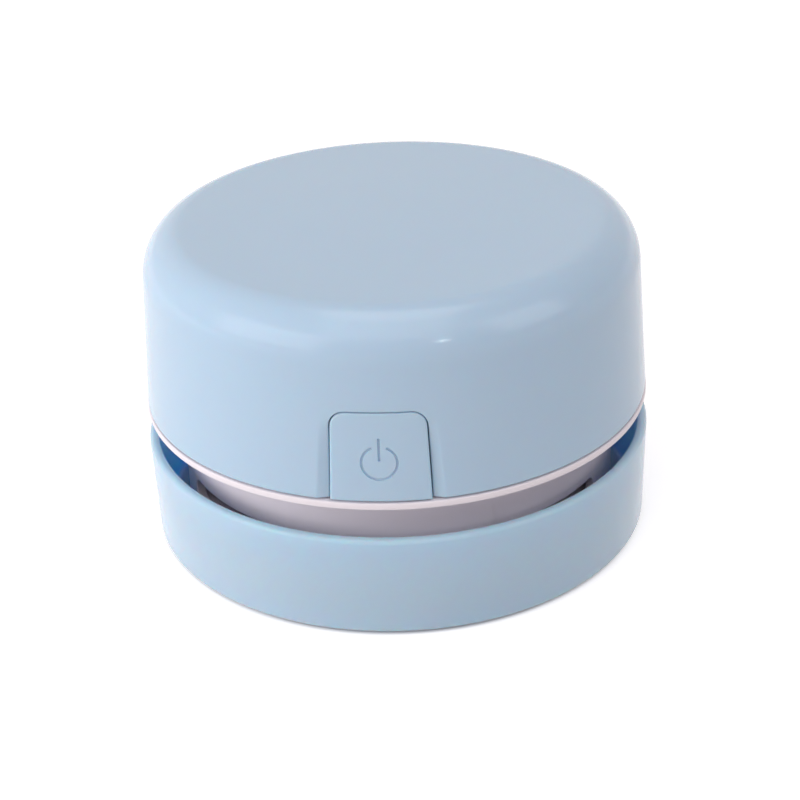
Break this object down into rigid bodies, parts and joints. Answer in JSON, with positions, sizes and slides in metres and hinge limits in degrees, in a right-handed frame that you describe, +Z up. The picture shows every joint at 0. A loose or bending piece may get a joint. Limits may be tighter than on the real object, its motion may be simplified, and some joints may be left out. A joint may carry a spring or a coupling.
{
  "type": "desktop mini vacuum cleaner",
  "caption": "Round battery-powered crumb vacuum for a desk: lift-off domed cap with a push button, slotted exhaust gap and a pull-off dust tray that stands on rubber feet.",
  "frame": {"origin": "centre of the round body on the surface that it stands on", "axes": "+Z up along the round body's axis, the button faces -Y, +X to the right of someone who looks at the button"},
  "size_m": [0.0864, 0.0864, 0.055],
  "materials": {
    "blue_gloss": "smooth glossy moulded plastic",
    "white_plastic": "smooth moulded plastic, satin",
    "rubber": "matt rubber",
    "bristle": "nylon bristle",
    "filter_cloth": "fine woven filter cloth",
    "black_plastic": "matt moulded plastic",
    "steel": "plated steel",
    "dark_steel": "dull pressed steel",
    "brass": "bare brass",
    "copper": "bare copper",
    "cell_sleeve": null,
    "board": "lacquered circuit board",
    "red_insulation": "soft plastic insulation",
    "black_insulation": "soft plastic insulation",
    "yellow_insulation": "soft plastic insulation"
  },
  "bodies": {
    "base": {"dust_tray": "blue_gloss", "foot_1": "rubber", "foot_2": "rubber", "foot_3": "rubber", "foot_4": "rubber", "brush_strip_left": "bristle", "brush_strip_right": "bristle", "seal_ring": "rubber", "filter_frame": "white_plastic", "filter_mesh": "filter_cloth"},
    "upper_body": {"chassis": "white_plastic", "motor_deck": "white_plastic", "fan_inlet_plate": "white_plastic", "motor_can": "steel", "motor_magnet": "dark_steel", "motor_bush": "brass", "motor_end_cap": "black_plastic", "motor_terminal_left": "brass", "motor_terminal_right": "brass", "motor_clamp": "steel", "clamp_screw_front": "steel", "clamp_screw_back": "steel", "battery_tray": "white_plastic", "tray_screw_left": "steel", "tray_screw_right": "steel", "battery_front": "cell_sleeve", "battery_back": "cell_sleeve", "bridge_contact": "steel", "positive_contact": "steel", "negative_contact": "steel", "battery_spring_front": "steel", "battery_spring_back": "steel", "switch_board": "board", "board_screw_left": "steel", "board_screw_right": "steel", "switch_body": "black_plastic", "button_guide": "white_plastic", "guide_screw_left": "steel", "guide_screw_right": "steel", "button_spring": "steel", "lead_red": "red_insulation", "lead_black": "black_insulation", "lead_motor": "yellow_insulation"},
    "rotor": {"impeller": "white_plastic", "motor_shaft": "steel", "armature": "dark_steel", "commutator": "copper"},
    "button": {"power_button": "blue_gloss", "button_clip": "steel"},
    "plunger": {"switch_plunger": "white_plastic"},
    "cap": {"cap": "blue_gloss"}
  },
  "joints": [
    {"name": "tray_pull_off", "type": "slide", "parent": "base", "child": "upper_body", "axis": [0, 0, 1], "range_m": [0, 0.025]},
    {"name": "cap_lift_off", "type": "slide", "parent": "upper_body", "child": "cap", "axis": [0, 0, 1], "range_m": [0, 0.03]},
    {"name": "fan_spin", "type": "hinge", "parent": "upper_body", "child": "rotor", "pos_m": [0, 0, 0.0151], "axis": [0, 0, 1], "continuous": true},
    {"name": "button_press", "type": "slide", "parent": "upper_body", "child": "button", "axis": [0, 1, 0], "range_m": [0, 0.0009], "stiffness_N_per_m": 1200, "springref_m": -0.0005, "deforming": ["button_spring"]},
    {"name": "plunger_press", "type": "slide", "parent": "upper_body", "child": "plunger", "axis": [0, 1, 0], "range_m": [0, 0.0009]}
  ],
  "couplings": [
    {"joint": "plunger_press", "follows": "button_press", "ratio": 1}
  ]
}
